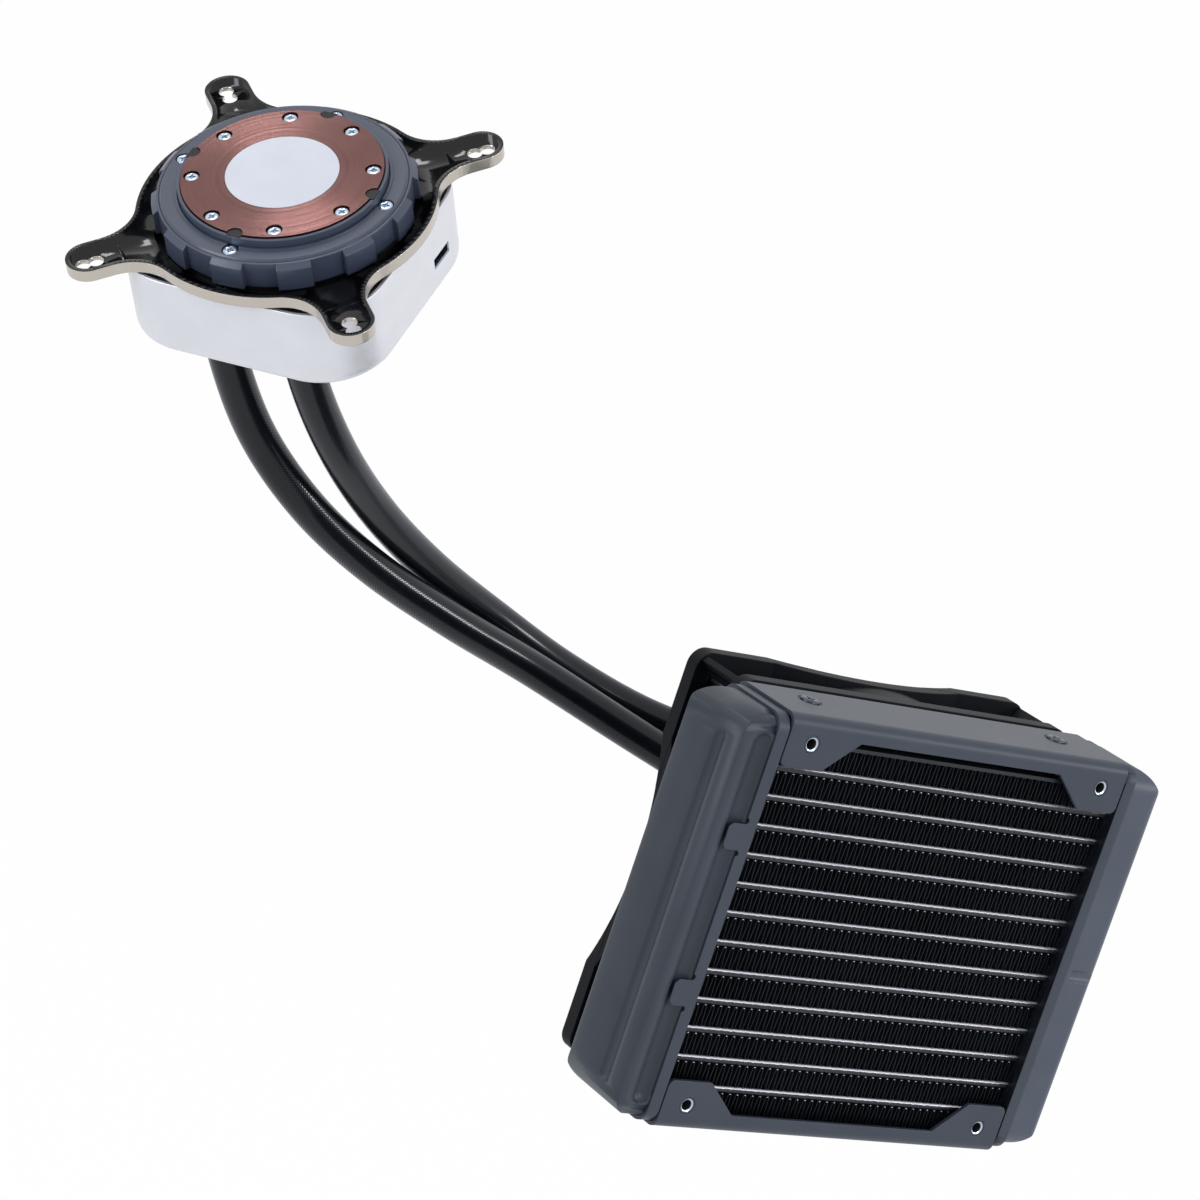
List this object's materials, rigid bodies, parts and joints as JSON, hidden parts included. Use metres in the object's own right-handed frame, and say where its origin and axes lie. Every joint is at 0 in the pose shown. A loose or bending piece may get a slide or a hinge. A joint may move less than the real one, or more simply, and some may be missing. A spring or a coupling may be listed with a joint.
{
  "type": "cpu liquid cooler",
  "caption": "All-in-one liquid cooler: slim radiator with fan, sleeved hoses and a square pump head with copper cold plate, castellated lock collar and pressed mounting bracket",
  "frame": {"origin": "centre of the four screw holes on the radiator's front face", "axes": "+X along the radiator towards the tank with the hose fittings, +Y from the front face towards the fan, +Z towards the side plate with the two rivets"},
  "size_m": [0.305, 0.1875, 0.2337],
  "materials": {
    "coated_metal": "satin charcoal powder coat",
    "bare_aluminium": "bare folded tube, pale edge",
    "black_aluminium": "matt black coat",
    "zinc_steel": "bright zinc",
    "black_steel": "satin black",
    "sleeved_hose": "black rubber under a braided sleeve",
    "black_plastic": "fine matt texture",
    "grey_plastic": "blue-grey, fine matt texture",
    "magnet": "dark bonded magnet",
    "bronze": "sintered bronze",
    "copper": "circular-brushed copper",
    "winding": "enamelled wire",
    "board": "green solder mask",
    "satin_silver": "satin silver",
    "gasket_rubber": "plain",
    "paste": "smooth pale grey paste",
    "black_nickel": "glossy black nickel over pressed sheet",
    "pale_plastic": "plain moulded"
  },
  "bodies": {
    "cooler": {"core_tubes": "bare_aluminium", "core_fins": "black_aluminium", "core_bars": "black_aluminium", "header_left": "coated_metal", "header_right": "coated_metal", "tank_left": "coated_metal", "tank_right": "coated_metal", "side_plate_top": "coated_metal", "side_plate_bottom": "coated_metal", "threaded_inserts": "zinc_steel", "plate_rivets": "black_steel", "tank_fitting_a": "black_steel", "tank_fitting_b": "black_steel", "hose_ferrules": "black_steel", "hose_a": "sleeved_hose", "hose_b": "sleeved_hose", "fan_frame": "black_plastic", "fan_bearing": "bronze", "fan_stator": "winding", "fan_board": "board", "fan_screws": "zinc_steel", "head_skirt": "satin_silver", "head_cap": "black_plastic", "head_body": "black_plastic", "lock_collar": "grey_plastic", "retainer_ring": "grey_plastic", "cold_plate": "copper", "plate_gasket": "gasket_rubber", "thermal_paste": "paste", "plate_screws": "zinc_steel", "ring_screws": "zinc_steel", "impeller_shaft": "zinc_steel", "head_stator": "winding", "head_board": "board", "port_shell": "zinc_steel", "port_tongue": "black_plastic", "head_stem_a": "black_steel", "head_stem_b": "black_steel"},
    "fan_wheel": {"fan_rotor": "black_plastic", "fan_magnet": "magnet", "fan_shaft": "zinc_steel"},
    "clip_bracket": {"bracket": "black_nickel"},
    "pump_wheel": {"impeller": "pale_plastic"}
  },
  "joints": [
    {"name": "fan_spin", "type": "hinge", "parent": "cooler", "child": "fan_wheel", "pos_m": [0, 0.04, 0], "axis": [0, 1, 0], "continuous": true},
    {"name": "bracket_twist", "type": "hinge", "parent": "cooler", "child": "clip_bracket", "pos_m": [-0.17589, 0.12974, 0.13956], "axis": [-0.5589, -0.2613, 0.787], "range_deg": [0, 15]},
    {"name": "impeller_spin", "type": "hinge", "parent": "cooler", "child": "pump_wheel", "pos_m": [-0.17142, 0.13183, 0.13326], "axis": [-0.5589, -0.2613, 0.787], "continuous": true}
  ]
}
